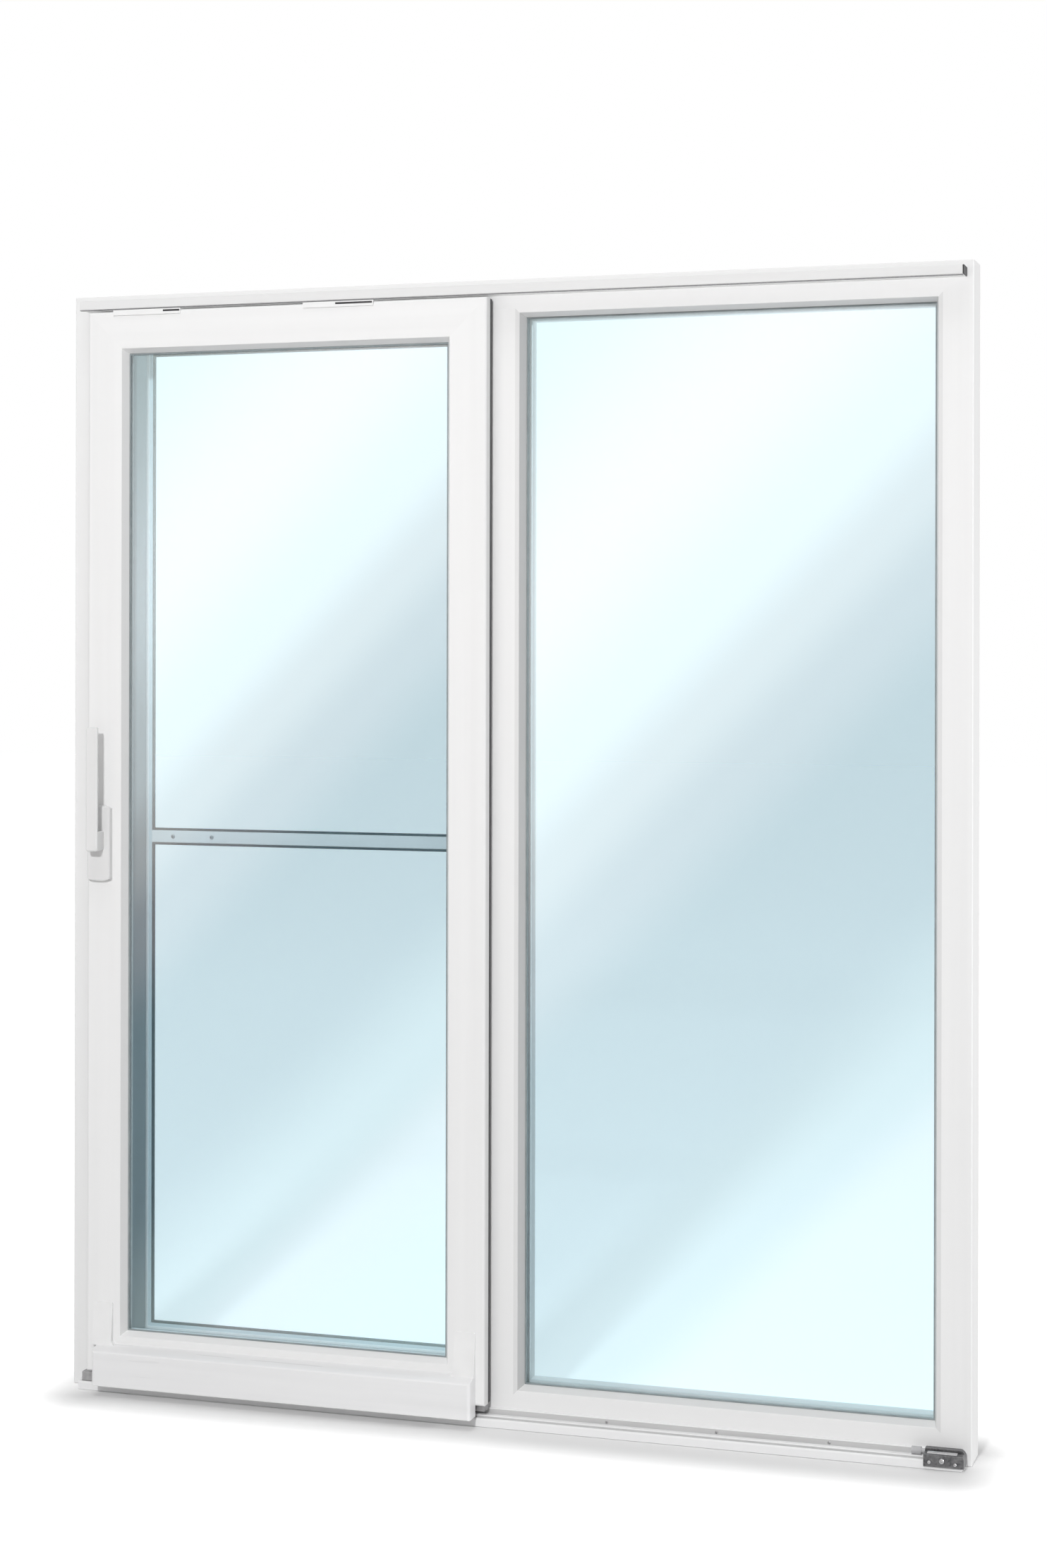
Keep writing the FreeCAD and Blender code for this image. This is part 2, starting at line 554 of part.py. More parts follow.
def handle_lever():
    """Straight lever that stands up from the spindle, on a neck as wide as the lever."""
    back = SASH_FRONT - PLATE_THICKNESS - NECK_GAP
    grip_back = back - NECK_LENGTH
    grip_front = grip_back - LEVER_THICKNESS
    x = SASH_X0 + HANDLE_INSET
    half = LEVER_WIDTH / 2
    low = HANDLE_HEIGHT - LEVER_TAIL
    high = low + LEVER_LENGTH
    corner = LEVER_CORNER_RADIUS
    grip = prism([(x - half, low, corner), (x + half, low, corner),
                  (x + half, high, corner), (x - half, high, corner)],
                 lambda a, b: V(a, grip_front, b), V(0, LEVER_THICKNESS, 0))
    grip = soften_front(grip, grip_front, LEVER_EDGE_RADIUS)
    narrow = half - LEVER_UNDERCUT
    taper = prism([(x - half, grip_front, 0), (x + half, grip_front, 0),
                   (x + half, grip_front + LEVER_EDGE_RADIUS, 0), (x + narrow, grip_back, 0),
                   (x - narrow, grip_back, 0), (x - half, grip_front + LEVER_EDGE_RADIUS, 0)],
                  lambda a, b: V(a, b, low), V(0, 0, LEVER_LENGTH))
    neck_top = low + NECK_HEIGHT
    neck_front = grip_front + LEVER_EDGE_RADIUS
    neck = prism([(x - half, low, corner), (x + half, low, corner),
                  (x + half, neck_top, NECK_TOP_RADIUS), (x - half, neck_top, NECK_TOP_RADIUS)],
                 lambda a, b: V(a, neck_front, b), V(0, back - neck_front, 0))
    return grip.common(taper).fuse(neck).removeSplitter().Solids[0]


def screen_members():
    """Stiles and rails of the insect screen, mitred at the corners."""
    radius = SCREEN_EDGE_RADIUS
    section = [(0, 0, radius), (SCREEN_FACE, 0, radius),
               (SCREEN_FACE, SCREEN_THICKNESS, radius), (0, SCREEN_THICKNESS, radius)]
    return mitred_ring(section, SCREEN_X0, SCREEN_X1, SCREEN_Z0, SCREEN_Z1, SCREEN_FRONT)


def screen_fill():
    """Mid rail of the screen, and the two sheets of mesh above and below it."""
    x0 = SCREEN_X0 + SCREEN_FACE
    x1 = SCREEN_X1 - SCREEN_FACE
    low = SCREEN_MID_RAIL_CENTRE - SCREEN_MID_RAIL_HEIGHT / 2
    high = SCREEN_MID_RAIL_CENTRE + SCREEN_MID_RAIL_HEIGHT / 2
    radius = SCREEN_EDGE_RADIUS
    rail = prism([(SCREEN_FRONT, low, radius), (SCREEN_BACK, low, radius),
                  (SCREEN_BACK, high, radius), (SCREEN_FRONT, high, radius)],
                 lambda y, z: V(x0, y, z), V(x1 - x0, 0, 0))
    y0 = SCREEN_MIDDLE - MESH_THICKNESS / 2
    y1 = SCREEN_MIDDLE + MESH_THICKNESS / 2
    lower = box(x0, x1, y0, y1, SCREEN_Z0 + SCREEN_FACE, low)
    upper = box(x0, x1, y0, y1, high, SCREEN_Z1 - SCREEN_FACE)
    return rail, Part.Compound([lower, upper])


def screen_wheels(bottom_rail):
    """Wheels let into the screen's bottom rail; returns the slotted rail and the wheels."""
    axle_z = SCREEN_Z0 - WHEEL_DROP + WHEEL_RADIUS
    slot_y = WHEEL_WIDTH / 2 + WHEEL_SIDE_GAP
    slot_x = WHEEL_RADIUS + WHEEL_SIDE_GAP
    wheels = []
    for x in (SCREEN_X0 + WHEEL_INSET, SCREEN_X1 - WHEEL_INSET):
        slot = box(x - slot_x, x + slot_x, SCREEN_MIDDLE - slot_y, SCREEN_MIDDLE + slot_y,
                   SCREEN_Z0, axle_z + WHEEL_RADIUS + WHEEL_SIDE_GAP)
        bottom_rail = bottom_rail.cut(slot)
        wheel = Part.makeCylinder(WHEEL_RADIUS, WHEEL_WIDTH, V(x, SCREEN_MIDDLE - WHEEL_WIDTH / 2, axle_z),
                                  V(0, 1, 0))
        axle = Part.makeCylinder(WHEEL_AXLE_RADIUS, 2 * slot_y, V(x, SCREEN_MIDDLE - slot_y, axle_z),
                                 V(0, 1, 0))
        wheels.append(wheel.fuse(axle).Solids[0])
    return bottom_rail.Solids[0], Part.Compound(wheels)


def screen_tracks():
    """Outside tracks on the frame: a ribbed channel under the screen and one over it."""
    near = SCREEN_GAP - TRACK_SIDE_GAP
    far = SCREEN_GAP + SCREEN_THICKNESS + TRACK_SIDE_GAP
    outer = far + TRACK_WALL
    middle = SCREEN_GAP + SCREEN_THICKNESS / 2
    run = V(FRAME_WIDTH - 2 * TRACK_END_INSET, 0, 0)

    def place(d, z):
        return V(LEFT_EDGE + TRACK_END_INSET, OUTDOOR_FACE + d, z)

    tread = SCREEN_Z0 - WHEEL_DROP - ROLLER_REST_GAP
    floor = tread - TRACK_FLOOR_DROP
    base = floor - TRACK_WALL
    bottom = prism(
        [(0, base, 0), (outer, base, 0), (outer, floor + TRACK_LIP, 0), (far, floor + TRACK_LIP, 0),
         (far, floor, 0), (middle + TRACK_RIB_WIDTH / 2, floor, 0),
         (middle + TRACK_RIB_WIDTH / 2, tread, TRACK_RIB_RADIUS),
         (middle - TRACK_RIB_WIDTH / 2, tread, TRACK_RIB_RADIUS),
         (middle - TRACK_RIB_WIDTH / 2, floor, 0), (near, floor, 0),
         (near, floor + TRACK_LIP, 0), (0, floor + TRACK_LIP, 0)], place, run)
    roof = SCREEN_Z1 + TRACK_HEADROOM
    hem = roof + TRACK_WALL - TRACK_FLANGE_HEIGHT
    top = prism(
        [(0, hem, 0), (near, hem, 0), (near, roof, 0), (far, roof, 0), (far, hem, 0),
         (outer, hem, 0), (outer, roof + TRACK_WALL, 0), (0, roof + TRACK_WALL, 0)], place, run)
    return bottom, top


def build():
    """Every piece by its node name."""
    pieces = {}
    frame = frame_members()
    pieces["left_jamb"] = frame["left"]
    pieces["right_jamb"] = frame["right"]
    pieces["sill"] = frame["bottom"]
    pieces["head"] = frame["top"]
    pieces["mullion"] = mullion(frame)

    fixed_x0 = MULLION_RIGHT
    fixed_x1 = RIGHT_EDGE - FRAME_FACE
    fixed_z0 = FRAME_FACE
    fixed_z1 = FRAME_HEIGHT - FRAME_FACE
    fixed_beads = beads(FIXED_BEAD_FLAT, FIXED_BEAD_SLOPE, FIXED_BEAD_DEPTH,
                        fixed_x0, fixed_x1, fixed_z0, fixed_z1, ROOM_FACE)
    for side, bead in fixed_beads.items():
        pieces["fixed_bead_" + side] = bead
    pieces["fixed_glass"], pieces["fixed_spacer"] = glass_unit(
        fixed_x0, fixed_x1, fixed_z0, fixed_z1,
        ROOM_FACE + FIXED_BEAD_DEPTH, OUTDOOR_FACE - LIP_THICKNESS)

    sash = sash_members()
    pieces["sash_left_stile"] = sash["left"]
    pieces["sash_right_stile"] = sash["right"]
    pieces["sash_bottom_rail"] = sash["bottom"]
    pieces["sash_top_rail"] = sash["top"]
    light_x0 = SASH_X0 + SASH_FACE
    light_x1 = SASH_X1 - SASH_FACE
    light_z0 = SASH_Z0 + SASH_FACE
    light_z1 = SASH_Z1 - SASH_FACE
    sash_beads = beads(SASH_BEAD_FLAT, SASH_BEAD_SLOPE, SASH_BEAD_DEPTH,
                       light_x0, light_x1, light_z0, light_z1, SASH_FRONT)
    for side, bead in sash_beads.items():
        pieces["sash_bead_" + side] = bead
    pieces["sash_glass"], pieces["sash_spacer"] = glass_unit(
        light_x0, light_x1, light_z0, light_z1,
        SASH_FRONT + SASH_BEAD_DEPTH, SASH_BACK - SASH_LIP_THICKNESS)

    pieces["floor_rail"] = floor_rail()
    pieces["guide_rail"] = guide_rail()
    pieces["stay_left"] = stay(SASH_X0 + STAY_LEFT_OFFSET)
    pieces["stay_right"] = stay(SASH_X0 + STAY_LEFT_OFFSET + STAY_PITCH)
    pieces["carriage_left"], pieces["rollers_left"] = carriage(SASH_X0 + CARRIAGE_LEFT_INSET)
    right_carriage = SASH_X1 - CARRIAGE_RIGHT_INSET - CARRIAGE_LENGTH
    pieces["carriage_right"], pieces["rollers_right"] = carriage(right_carriage)
    pieces["bottom_cover"] = bottom_cover()
    pieces["cover_cap_left"] = cover_cap(SASH_X0, 1)
    pieces["cover_cap_right"] = cover_cap(SASH_X1, -1)
    pieces["end_stop"], pieces["stop_buffer"] = end_stop()
    pieces["closing_catch"] = closing_catch()
    pieces["handle_plate"] = handle_plate()
    pieces["handle_lever"] = handle_lever()

    screen = screen_members()
    pieces["screen_left_stile"] = screen["left"]
    pieces["screen_right_stile"] = screen["right"]
    pieces["screen_top_rail"] = screen["top"]
    pieces["screen_bottom_rail"], pieces["screen_wheels"] = screen_wheels(screen["bottom"])
    pieces["screen_mid_rail"], pieces["screen_mesh"] = screen_fill()
    pieces["screen_track_bottom"], pieces["screen_track_top"] = screen_tracks()
    return pieces


os.makedirs("parts", exist_ok=True)
for name, shape in build().items():
    shape.exportStep("parts/" + name + ".step")
    print(name, len(shape.Solids), round(shape.Volume / 1e3, 1), "cm3", shape.isValid())
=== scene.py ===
# %% [markdown]
# A white patio door with two lights. The left sash slides on a floor rail in front of the fixed
# right light, and an insect screen runs on the outside. The construction comes from CAD and stays
# as it is: this lesson only dresses it. Everything is in metres, +X to the right seen from the
# room, +Y outdoors, +Z up, with the origin under the middle of the sill.

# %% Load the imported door
import math

import bmesh
import bpy
from mathutils import Matrix, Vector


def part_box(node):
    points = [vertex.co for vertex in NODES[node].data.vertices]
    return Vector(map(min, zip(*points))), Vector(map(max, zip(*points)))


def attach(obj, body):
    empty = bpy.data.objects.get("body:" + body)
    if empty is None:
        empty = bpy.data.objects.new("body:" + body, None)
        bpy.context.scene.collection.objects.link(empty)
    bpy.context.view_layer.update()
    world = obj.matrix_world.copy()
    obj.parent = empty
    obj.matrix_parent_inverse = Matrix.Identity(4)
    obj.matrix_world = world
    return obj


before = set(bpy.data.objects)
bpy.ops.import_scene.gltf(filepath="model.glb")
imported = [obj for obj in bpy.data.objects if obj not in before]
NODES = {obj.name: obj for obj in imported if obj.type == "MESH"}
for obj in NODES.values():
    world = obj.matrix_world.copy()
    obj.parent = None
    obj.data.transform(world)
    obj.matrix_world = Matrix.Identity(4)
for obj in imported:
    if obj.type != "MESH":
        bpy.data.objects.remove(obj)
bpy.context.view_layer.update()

SCENE = bpy.context.scene

# %% [markdown]
# The camera was found from the four corners of the frame and the depth of the glass reveals. It
# stands to the right of the door at eye height and looks straight ahead, so the uprights stay
# upright. The picture shows more floor than sky: a photographer shifts the lens for that instead of
# tilting it, and the camera here has the same shift.

# %% Camera
IMAGE_HEIGHT_PX = 2223
HORIZON_PX = 931.4
FOCAL_PX = 3800.0
SENSOR = 36.0
CAMERA_PLACE = Vector((1.5435, -4.7142, 1.4069))
CAMERA_YAW = 0.3101
CAMERA_ROLL = 0.002

camera_data = bpy.data.cameras.new("camera")
camera_data.sensor_width = SENSOR
camera_data.lens = SENSOR * FOCAL_PX / IMAGE_HEIGHT_PX
camera_data.shift_y = (HORIZON_PX - IMAGE_HEIGHT_PX / 2) / IMAGE_HEIGHT_PX
camera = bpy.data.objects.new("camera", camera_data)
turn = Matrix.Rotation(CAMERA_YAW, 4, "Z") @ Matrix.Rotation(math.pi / 2, 4, "X")
roll = Matrix.Rotation(CAMERA_ROLL, 4, "Z")
camera.matrix_world = Matrix.Translation(CAMERA_PLACE) @ turn @ roll
SCENE.collection.objects.link(camera)
SCENE.camera = camera
SCENE.view_settings.view_transform = "Standard"
print("lens", round(camera_data.lens, 2), "mm, shift", round(camera_data.shift_y, 4))

# %% [markdown]
# The studio and every finish are trees of nodes. They could be wired one socket at a time, but the
# same few steps come again and again, so short helpers take them up: add a node with its numbers,
# calculate with two values, and rescale a value from one range to another.

# %% Helpers for nodes


def add_node(tree, kind, **numbers):
    """A new shader node. Each number goes on the input of that name, with _ for a space."""
    node = tree.nodes.new("ShaderNode" + kind)
    for name, number in numbers.items():
        node.inputs[name.replace("_", " ")].default_value = number
    return node


def calculate(tree, operation, first, second):
    """The result of a Math node. second may be a plain number."""
    node = add_node(tree, "Math")
    node.operation = operation
    tree.links.new(first, node.inputs[0])
    if isinstance(second, bpy.types.NodeSocket):
        tree.links.new(second, node.inputs[1])
    else:
        node.inputs[1].default_value = second
    return node.outputs[0]


def rescale(tree, value, start, end, low=0.0, high=1.0, smooth=False):
    """What a Map Range node makes of value: start becomes low, and end becomes high."""
    node = add_node(tree, "MapRange", From_Min=start, From_Max=end, To_Min=low, To_Max=high)
    node.interpolation_type = "SMOOTHSTEP" if smooth else "LINEAR"
    tree.links.new(value, node.inputs["Value"])
    return node.outputs["Result"]


# %% [markdown]
# The studio is white all round. A white dome that lights the door at full strength would wash out
# every shadow, so the dome shows white to rays that come straight from the camera, off a glossy
# surface or through glass, and lights matt surfaces at a lower level. The lamps add the direction.

# %% White studio
DOME_LIGHT = 0.33
WHITE = (1, 1, 1, 1)


def seen_rays(tree):
    """1 for rays that look at the background, and 0 for rays that light matt surfaces."""
    rays = add_node(tree, "LightPath").outputs
    direct = calculate(tree, "MAXIMUM", rays["Is Camera Ray"], rays["Is Glossy Ray"])
    return calculate(tree, "MAXIMUM", direct, rays["Is Transmission Ray"])


world = bpy.data.worlds.new("studio")
world.use_nodes = True
SCENE.world = world
tree = world.node_tree
background = tree.nodes["Background"]
background.inputs["Color"].default_value = WHITE
level = rescale(tree, seen_rays(tree), 0, 1, DOME_LIGHT, 1)
tree.links.new(level, background.inputs["Strength"])
print("dome lights matt surfaces at", DOME_LIGHT)

# %% [markdown]
# The floor is one pale sheet. Close to the door it shows only the light that it really gets, so the
# soft shadow under the cover and the rail stays. Further out a lift of painted light takes it to the
# same white as the dome, and where the lift begins sets how far the shadow reaches. How far out a
# point lies is measured from a rectangle, the door's footprint. It ends a little inside the door, and
# a little more so at the left, where the shadow is shortest.

# %% How far a point of the floor lies from the door
FOOTPRINT = (0.812, 0.07, 0.0)
FOOTPRINT_SHIFT = (-0.022, 0.04, 0.0)
NOTHING = (0, 0, 0)


def distance_from_door(tree):
    """The distance of a point from the footprint, which is 0 inside it."""
    point = add_node(tree, "TexCoord").outputs["Object"]
    for operation, amount in (("ADD", FOOTPRINT_SHIFT), ("ABSOLUTE", NOTHING),
                              ("SUBTRACT", FOOTPRINT), ("MAXIMUM", NOTHING)):
        step = add_node(tree, "VectorMath")
        step.operation = operation
        step.inputs[1].default_value = amount
        tree.links.new(point, step.inputs[0])
        point = step.outputs["Vector"]
    length = add_node(tree, "VectorMath")
    length.operation = "LENGTH"
    tree.links.new(point, length.inputs[0])
    return length.outputs["Value"]


# %% [markdown]
# The paint adds the lift, a glow of painted light, to a matt white. The lift has two steps, because
# the lamps reach only the floor around the door: a strong one close by, and a weak one that ends far
# out.

# %% Floor paint
FLOOR_WHITE = (0.82, 0.82, 0.82, 1)
NEAR_LIFT = (0.0, 0.170, 0.0, 0.660)
FAR_LIFT = (1.0, 7.0, 0.0, 0.07)


def empty_tree(name):
    """A new material with nothing but its output: the material, its tree and the output."""
    material = bpy.data.materials.new(name)
    material.use_nodes = True
    tree = material.node_tree
    tree.nodes.remove(tree.nodes["Principled BSDF"])
    return material, tree, tree.nodes["Material Output"]


floor_paint, tree, output = empty_tree("studio_floor")
distance = distance_from_door(tree)
lift = calculate(tree, "ADD", rescale(tree, distance, *NEAR_LIFT, smooth=True),
                 rescale(tree, distance, *FAR_LIFT, smooth=True))
glow = add_node(tree, "Emission")
tree.links.new(calculate(tree, "MULTIPLY", seen_rays(tree), lift), glow.inputs["Strength"])
both = add_node(tree, "AddShader")
tree.links.new(add_node(tree, "BsdfDiffuse", Color=FLOOR_WHITE).outputs[0], both.inputs[0])
tree.links.new(glow.outputs[0], both.inputs[1])
tree.links.new(both.outputs[0], output.inputs["Surface"])
print("finish", floor_paint.name)

# %% [markdown]
# The sheet itself is one square, a hair below the sill so that the two don't flicker.

# %% Floor
FLOOR_SIZE = 60.0
FLOOR_GAP = 0.0005


def stage_plane(name, material):
    """A square of side 1 in the XY plane that isn't part of the door."""
    bm = bmesh.new()
    bmesh.ops.create_grid(bm, x_segments=1, y_segments=1, size=0.5)
    mesh = bpy.data.meshes.new(name)
    bm.to_mesh(mesh)
    bm.free()
    mesh.materials.append(material)
    plane = bpy.data.objects.new(name, mesh)
    SCENE.collection.objects.link(plane)
    return plane


floor = stage_plane("floor", floor_paint)
spread = Matrix.Diagonal((FLOOR_SIZE, FLOOR_SIZE, 1, 1))
floor.data.transform(Matrix.Translation((0, 0, -FLOOR_GAP)) @ spread)
floor.visible_glossy = False
print("floor", FLOOR_SIZE, "m square")

# %% [markdown]
# Four soft lamps. The key stands far in front and high up, so each shadow is tight and dark: beside
# the lever, under the plate and under the cover. It would show as a bright patch on the jamb, so
# glossy rays don't see it. A weak lamp overhead brightens the ledges, one at the right lights the
# frame's side, and one behind the door lights its back.

# %% Lamps
DOOR_MIDDLE = Vector((0, 0, 1.05))
LAMPS = {  # place, size and watts
    "key_lamp": ((0.45, -8.0, 4.6), 0.60, 370.0),
    "top_lamp": ((0.0, -3.0, 9.0), 3.5, 135.0),
    "side_lamp": ((5.0, 0.15, 1.4), 0.3, 78.0),
    "back_lamp": ((-0.6, 4.0, 3.2), 2.0, 80.0),
}


def soft_lamp(name, place, size, watts):
    """A square area lamp that looks at the middle of the door."""
    data = bpy.data.lights.new(name, "AREA")
    data.size = size
    data.energy = watts
    lamp = bpy.data.objects.new(name, data)
    lamp.location = place
    lamp.rotation_euler = (DOOR_MIDDLE - Vector(place)).to_track_quat("-Z", "Y").to_euler()
    SCENE.collection.objects.link(lamp)
    return lamp


lamps = {name: soft_lamp(name, *values) for name, values in LAMPS.items()}
key, back = lamps["key_lamp"], lamps["back_lamp"]
key.visible_glossy = False
back.visible_glossy = False
back.visible_camera = False
print("lamps", list(lamps))

# %% [markdown]
# The lamp behind would throw the frame's shadow forward over the floor and shine on the inner faces
# of the beads. A card between them would stop that in a studio. Here light linking does it: the lamp
# gets a collection of what it leaves out.

# %% What the lamp behind leaves out


def left_out(name, things):
    """A collection that takes these things out of a lamp's light linking."""
    group = bpy.data.collections.new(name)
    for thing in things:
        group.objects.link(thing)
    for entry in group.collection_objects:
        entry.light_linking.link_state = "EXCLUDE"
    return group


beads = [NODES[name] for name in NODES if "_bead_" in name]
back.light_linking.receiver_collection = left_out("unlit_by_back", [floor] + beads)
print("the lamp behind leaves out the floor and", len(beads), "beads")

# %% [markdown]
# The slanting bands in the glass are a reflection: white at the upper left, blue-grey across the
# middle, pale again below. A photographer gets that by standing a graded card where the pane mirrors
# it. The bands run along one colour ramp, from the card's upper left corner to its lower right one.
# A ramp holds colours up to 1, so the glow carries the rest of the brightness.

# %% Bands of a graded card
CARD_STOPS = [
    (0.00, (1.55, 1.55, 1.45)),
    (0.20, (2.30, 2.10, 2.00)),
    (0.33, (1.70, 1.50, 1.40)),
    (0.39, (1.10, 0.85, 0.75)),
    (0.45, (0.52, 0.36, 0.33)),
    (0.53, (0.04, 0.04, 0.04)),
    (0.64, (0.04, 0.04, 0.04)),
    (0.76, (0.58, 0.58, 0.52)),
    (0.82, (1.05, 0.90, 0.84)),
    (0.95, (0.95, 1.05, 1.00)),
]
BRIGHTEST = max(max(colour) for _, colour in CARD_STOPS)


def graded(tree, value, stops, between="LINEAR"):
    """The colour of a ramp at value. stops are pairs of a position and a colour."""
    node = add_node(tree, "ValToRGB")
    ramp = node.color_ramp
    ramp.interpolation = between
    while len(ramp.elements) < len(stops):
        ramp.elements.new(1.0)
    for stop, (position, colour) in zip(ramp.elements, stops):
        stop.position = position
        stop.color = (*colour, 1)
    tree.links.new(value, node.inputs["Fac"])
    return node.outputs["Color"]


def card_glow(tree, axes, start, end):
    """An emission with the bands, from the corner start to the corner end."""
    slanting = calculate(tree, "SUBTRACT", axes["X"], axes["Z"])
    along = rescale(tree, slanting, start.x - start.z, end.x - end.z)
    stops = [(position, [c / BRIGHTEST for c in colour]) for position, colour in CARD_STOPS]
    glow = add_node(tree, "Emission", Strength=BRIGHTEST)
    tree.links.new(graded(tree, along, stops, "EASE"), glow.inputs["Color"])
    return glow


# %% [markdown]
# The card's upright edges fade out, so that a pane seen from another side shows no hard line. The
# glow is mixed with a clear shader there.

# %% Paint of a graded card
CARD_MARGIN = 0.10


def blend(tree, share, first, second):
    """A Mix Shader node: first where share is 0, and second where it is 1."""
    node = add_node(tree, "MixShader")
    tree.links.new(share, node.inputs["Fac"])
    tree.links.new(first.outputs[0], node.inputs[1])
    tree.links.new(second.outputs[0], node.inputs[2])
    return node


def card_paint(name, start, end):
    """A glow with slanting bands that fades out towards both upright edges."""
    material, tree, output = empty_tree(name)
    split = add_node(tree, "SeparateXYZ")
    tree.links.new(add_node(tree, "TexCoord").outputs["Object"], split.inputs[0])
    across = split.outputs["X"]
    from_left = rescale(tree, across, start.x - CARD_MARGIN, start.x)
    from_right = rescale(tree, across, end.x + CARD_MARGIN, end.x)
    inside = calculate(tree, "MINIMUM", from_left, from_right)
    glow = card_glow(tree, split.outputs, start, end)
    faded = blend(tree, inside, add_node(tree, "BsdfTransparent"), glow)
    tree.links.new(faded.outputs[0], output.inputs["Surface"])
    return material


# %% [markdown]
# The pane acts as a mirror, so the card goes on the line from the camera's mirror image through the
# pane. Only glossy rays see the cards, so they cast no shadow and stay out of the picture.

# %% Graded cards that the panes mirror
CARD_Y = -3.0


def mirrored(point, pane_y):
    """Where the line from the camera's image in the pane, through a point of it, meets the cards."""
    image = Vector((CAMERA_PLACE.x, 2 * pane_y - CAMERA_PLACE.y, CAMERA_PLACE.z))
    reach = (image.y - CARD_Y) / (image.y - pane_y)
    return image + (point - image) * reach


def graded_card(name, pane):
    """A card as large as the pane's mirror image and a margin."""
    low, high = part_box(pane)
    start = mirrored(Vector((low.x, low.y, high.z)), low.y)
    end = mirrored(Vector((high.x, low.y, low.z)), low.y)
    card = stage_plane(name, card_paint(name, start, end))
    wide = end.x - start.x + 2 * CARD_MARGIN
    tall = start.z - end.z + 2 * CARD_MARGIN
    upright = Matrix.Rotation(math.pi / 2, 4, "X") @ Matrix.Diagonal((wide, tall, 1, 1))
    card.data.transform(Matrix.Translation((start + end) / 2) @ upright)
    card.visible_camera = False
    card.visible_diffuse = False
    card.visible_transmission = False
    card.visible_shadow = False
    print(name, "is", round(wide, 2), "by", round(tall, 2), "m")


graded_card("sash_card", "sash_glass")
graded_card("fixed_card", "fixed_glass")

# %% [markdown]
# Most surfaces here are one family: a colour that drifts a little, a gloss that drifts with it and a
# fine skin. One helper builds that family from noise on Object coordinates, and each finish below
# only chooses its own numbers. Noise that is stretched along one axis gives the faint drawing lines
# of an extruded profile.

# %% Helper: a surface with drifting colour, gloss and skin
DRIFT_FROM, DRIFT_TO = 0.30, 0.70
DRIFT_DETAIL = 4.0
SKIN_DETAIL = 2.0
SKIN_STRENGTH = 0.5


def surface(name, dark, light, grain, gloss, skin_size, skin_depth, metal=0.0):
    """A principled material. grain is the noise scale on X, Y and Z, gloss (smoothest, roughest)."""
    material = bpy.data.materials.new(name)
    material.use_nodes = True
    tree = material.node_tree
    shader = tree.nodes["Principled BSDF"].inputs
    shader["Metallic"].default_value = metal
    place = add_node(tree, "TexCoord").outputs["Object"]
    stretch = add_node(tree, "Mapping", Scale=grain)
    noise = add_node(tree, "TexNoise", Scale=1.0, Detail=DRIFT_DETAIL)
    tree.links.new(place, stretch.inputs["Vector"])
    tree.links.new(stretch.outputs["Vector"], noise.inputs["Vector"])
    drift = noise.outputs["Fac"]
    colour = graded(tree, drift, [(DRIFT_FROM, dark), (DRIFT_TO, light)])
    tree.links.new(colour, shader["Base Color"])
    tree.links.new(rescale(tree, drift, DRIFT_FROM, DRIFT_TO, *gloss), shader["Roughness"])
    skin = add_node(tree, "TexNoise", Scale=1.0 / skin_size, Detail=SKIN_DETAIL)
    bump = add_node(tree, "Bump", Strength=SKIN_STRENGTH, Distance=skin_depth)
    tree.links.new(place, skin.inputs["Vector"])
    tree.links.new(skin.outputs["Fac"], bump.inputs["Height"])
    tree.links.new(bump.outputs["Normal"], shader["Normal"])
    print("finish", name)
    return material


# %% [markdown]
# Frame, sash and beads are white window plastic, extruded and then welded at the mitres. Extruding
# leaves very faint lines along each length, so uprights and level members get their own direction.
# The fixed light's upright beads are painted a shade greyer: painted shade for their deep reveal.

# %% White window plastic
UPRIGHT_GRAIN = (40, 40, 0.8)
LEVEL_GRAIN = (0.8, 40, 40)
PLASTIC_SKIN = {"gloss": (0.38, 0.48), "skin_size": 0.0012, "skin_depth": 0.00002}


def grey(value):
    """A colour without a hue."""
    return (value, value, value)


def dress(material, *names):
    """Give CAD nodes this material."""
    for name in names:
        slots = NODES[name].data.materials
        slots.clear()
        slots.append(material)


WHITE_DARK, WHITE_LIGHT = grey(0.815), grey(0.845)
plastic_upright = surface("plastic_upright", WHITE_DARK, WHITE_LIGHT, UPRIGHT_GRAIN, **PLASTIC_SKIN)
plastic_level = surface("plastic_level", WHITE_DARK, WHITE_LIGHT, LEVEL_GRAIN, **PLASTIC_SKIN)
# Painted shade: a greyer copy of the white plastic for the fixed light's upright beads.
bead_upright_painted_shade = surface("bead_upright_painted_shade", grey(0.71), grey(0.75), UPRIGHT_GRAIN, **PLASTIC_SKIN)
dress(plastic_upright, "left_jamb", "right_jamb", "mullion", "sash_left_stile", "sash_right_stile",
      "sash_bead_left", "sash_bead_right")
dress(plastic_level, "sill", "head", "sash_top_rail", "sash_bottom_rail", "sash_bead_top",
      "sash_bead_bottom", "fixed_bead_top", "fixed_bead_bottom")
dress(bead_upright_painted_shade, "fixed_bead_left", "fixed_bead_right")

# %% [markdown]
# Caps and stays are moulded, so they have no drawing lines but a fine sparked texture. The rails and
# the cover are aluminium with a white powder coat, which dries with a slight orange peel. The guide
# rail's coat is a shade darker than the cover's.

# %% Moulded fittings and powder coat
RAIL_GRAIN = (1.2, 30, 30)
ORANGE_PEEL = {"skin_size": 0.0022, "skin_depth": 0.00004}

